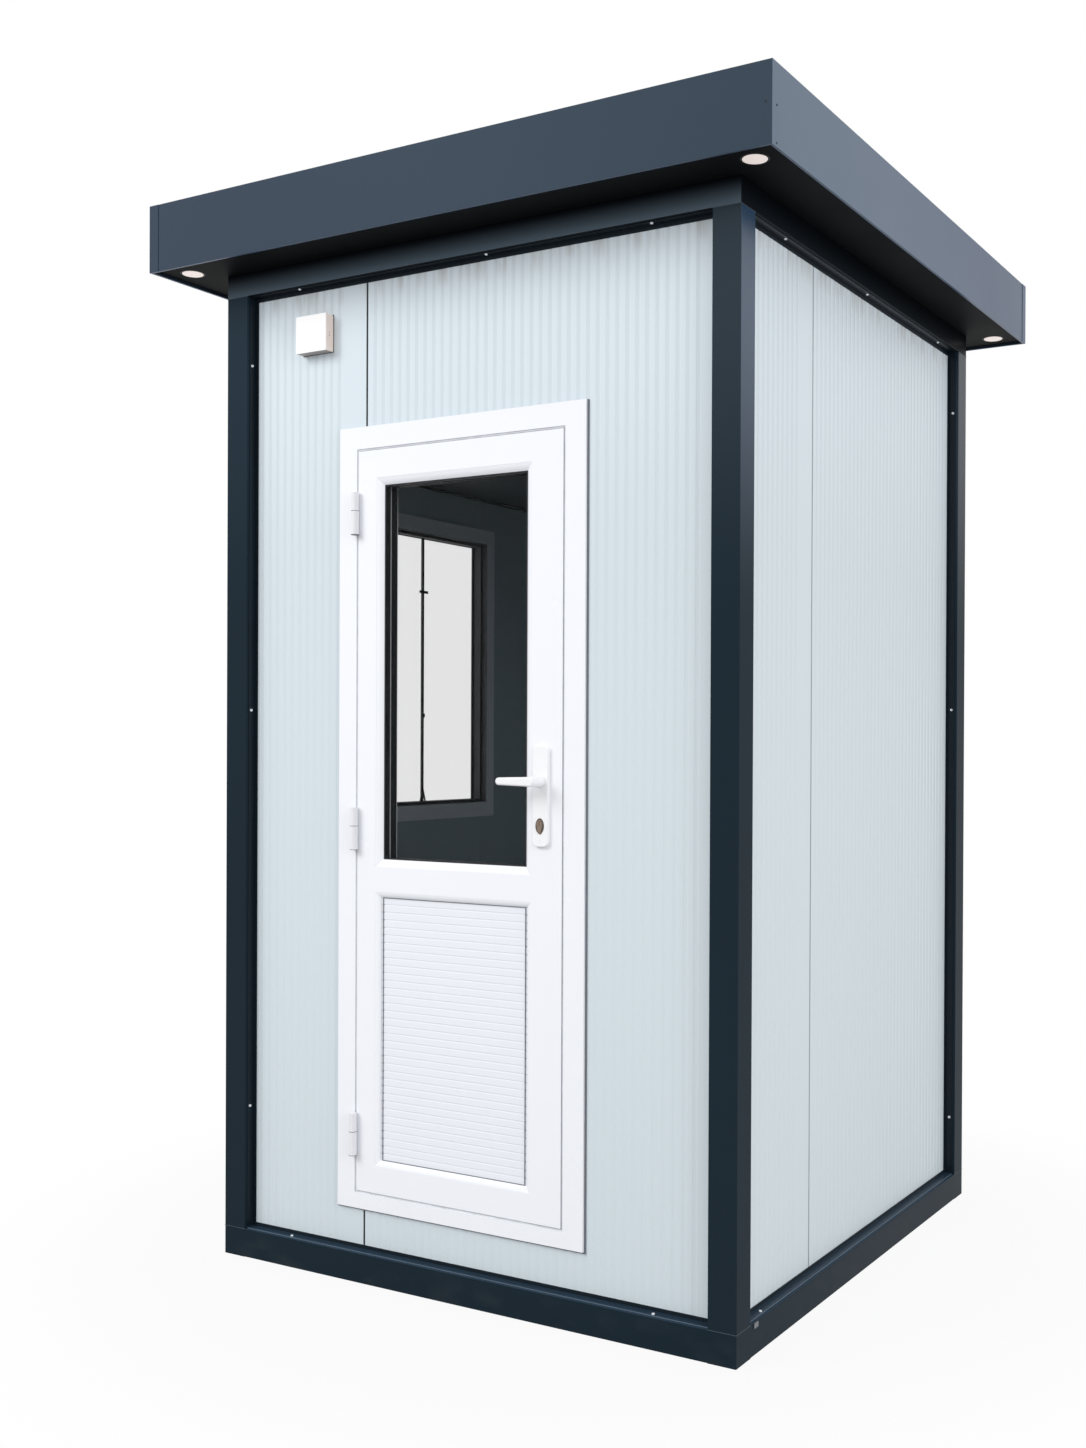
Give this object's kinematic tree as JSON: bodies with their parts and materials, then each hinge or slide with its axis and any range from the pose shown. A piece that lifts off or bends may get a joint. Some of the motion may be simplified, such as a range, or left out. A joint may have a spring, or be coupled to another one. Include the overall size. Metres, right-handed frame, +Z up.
{
  "type": "security guard booth",
  "caption": "Square steel-framed guard booth with light ribbed wall panels, an overhanging dark roof band, a half-glazed white hinged door, a side window and small lamps.",
  "frame": {"origin": "middle of the booth's base, at ground level", "axes": "+Z up; -Y out of the door wall; +X out of the plain side wall at the door's right seen from outside"},
  "size_m": [1.776, 1.776, 2.722],
  "materials": {
    "brass": "aged brass",
    "floor": "vinyl on board",
    "glass": "clear double glazing",
    "handle": "white enamel",
    "lamp": "off-white housing",
    "lens": "opal diffuser",
    "lining": "semi-matt coated steel skin",
    "panel": "semi-matt coated steel skin, micro-ribbed, light grey",
    "plastic": "white window plastic, soft gloss",
    "roof": "semi-matt coated steel skin",
    "steel": "satin powder coat, dark anthracite blue",
    "trim": "matt black"
  },
  "bodies": {
    "booth": {"back_panel_narrow": "panel", "back_panel_wide": "panel", "base_corners": "steel", "base_rails": "steel", "ceiling_panel": "lining", "ceiling_trim": "trim", "corner_post_back_left": "steel", "corner_post_back_right": "steel", "corner_post_front_left": "steel", "corner_post_front_right": "steel", "corner_strips": "steel", "door_frame": "plastic", "downlight_cups": "trim", "downlight_lenses": "lens", "fascia_back": "steel", "fascia_front": "steel", "fascia_left": "steel", "fascia_right": "steel", "floor_deck": "floor", "floor_joists": "steel", "front_panel_left": "panel", "front_panel_over_door": "panel", "front_panel_right": "panel", "front_panel_under_door": "panel", "hinge_frame_halves": "plastic", "left_panel_back": "panel", "left_panel_front": "panel", "left_panel_over_window": "panel", "left_panel_under_window": "panel", "panel_beads": "steel", "right_panel_narrow": "panel", "right_panel_wide": "panel", "roof_panel": "roof", "soffit_front_back": "steel", "soffit_sides": "steel", "top_beams": "steel", "top_corners": "steel", "wall_lamp_body": "lamp", "wall_lamp_lens": "lens", "window_frame": "plastic", "window_inner_trim": "plastic", "window_pane": "glass", "window_sash": "plastic"},
    "door": {"door_leaf": "plastic", "door_glass": "glass", "door_infill": "plastic", "door_inner_beads": "plastic", "door_outer_beads": "plastic", "handle_plates": "handle", "lock_cylinder": "brass", "hinge_leaf_halves": "plastic"},
    "lever": {"lever_outside": "handle", "lever_inside": "handle"}
  },
  "joints": [
    {"name": "door_hinge", "type": "hinge", "parent": "booth", "child": "door", "pos_m": [-0.326, -0.7385, 1.126], "axis": [0, 0, -1], "range_deg": [0, 170]},
    {"name": "door_lever", "type": "hinge", "parent": "door", "child": "lever", "pos_m": [0.23, -0.728, 1.252], "axis": [0, -1, 0], "range_deg": [0, 40], "stiffness_Nm_per_rad": 1.5, "springref_deg": -20.05}
  ]
}
